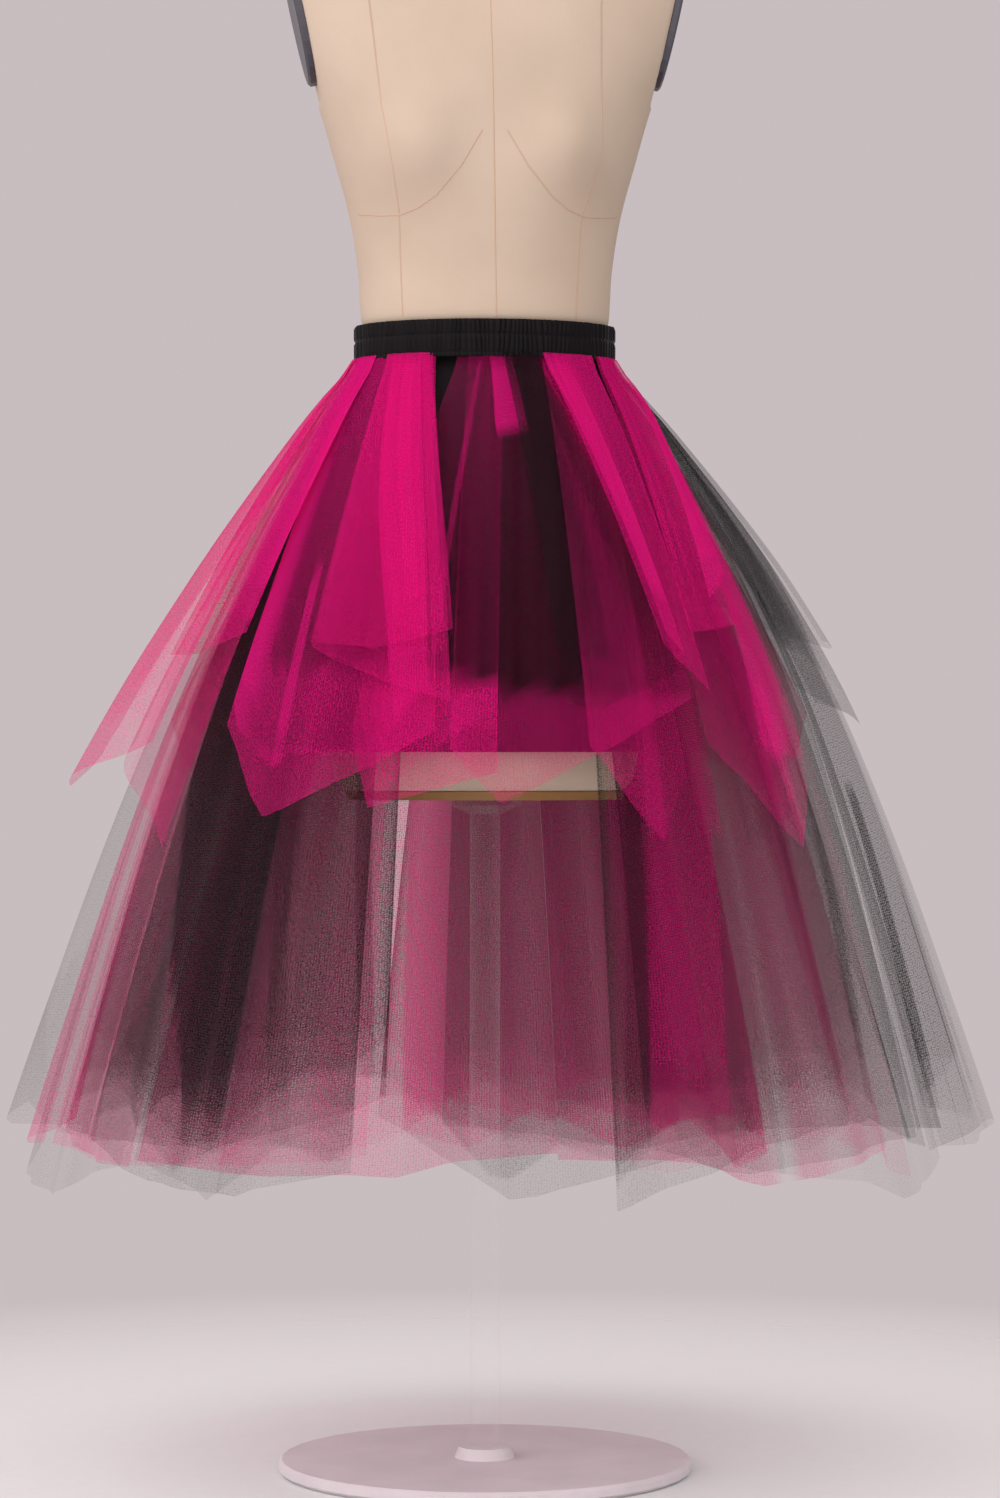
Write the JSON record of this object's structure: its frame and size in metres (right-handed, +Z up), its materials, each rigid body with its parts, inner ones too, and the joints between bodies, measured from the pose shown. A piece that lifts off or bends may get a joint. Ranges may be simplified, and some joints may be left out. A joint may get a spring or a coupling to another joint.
{
  "type": "tulle skirt on a dress form",
  "caption": "High-low tulle skirt in layered pink and black pointed panels with a gathered satin waistband, shown on a limbless dress form with a round-based stand",
  "frame": {"origin": "the middle of the stand's flat underside, on the floor", "axes": "+Z up along the form, -Y out of the skirt's open front, +X to the right of someone who looks at the front"},
  "size_m": [0.8962, 0.9443, 1.5053],
  "materials": {
    "steel": "matt pale grey paint",
    "acrylic": "clear polished acrylic rod",
    "rim": "golden brown edge",
    "linen": "smooth cream cloth cover",
    "armhole": "satin dark grey",
    "satin": "black satin, gathered",
    "lining": "opaque black",
    "pink": "fine sheer net",
    "black": "fine sheer net"
  },
  "bodies": {
    "root": {"base_plate": "steel", "pole": "acrylic", "form_rim": "rim", "form_torso": "linen", "form_neck_cap": "linen", "form_armhole_left": "armhole", "form_armhole_right": "armhole", "waistband": "satin", "lining_skirt": "lining", "pink_front_left_top": "pink", "pink_front_left_under": "pink", "pink_front_left_main": "pink", "pink_side_left": "pink", "pink_side_left_strip": "pink", "pink_side_left_top": "pink", "pink_front_middle": "pink", "pink_front_centre": "pink", "black_front_centre": "black", "pink_front_right_strip": "pink", "pink_front_right_under": "pink", "pink_side_right": "pink", "pink_side_right_top": "pink", "black_side_right_top": "black", "black_side_right": "black", "pink_back_right": "pink", "pink_back_centre": "pink", "pink_back_left": "pink", "black_back_right": "black", "black_back_left": "black", "black_outer_front_left": "black", "black_outer_left": "black", "black_outer_back_left": "black", "black_outer_back_edge": "black", "black_outer_back_centre": "black", "black_outer_back_right": "black", "black_outer_right": "black", "black_outer_front_right": "black", "pink_long_front_left": "pink", "pink_long_left": "pink", "pink_long_back": "pink", "pink_long_back_right": "pink", "pink_long_front_right": "pink", "black_inner_front_left": "black", "black_inner_left": "black", "black_inner_back": "black", "black_inner_front_right": "black"}
  },
  "joints": []
}
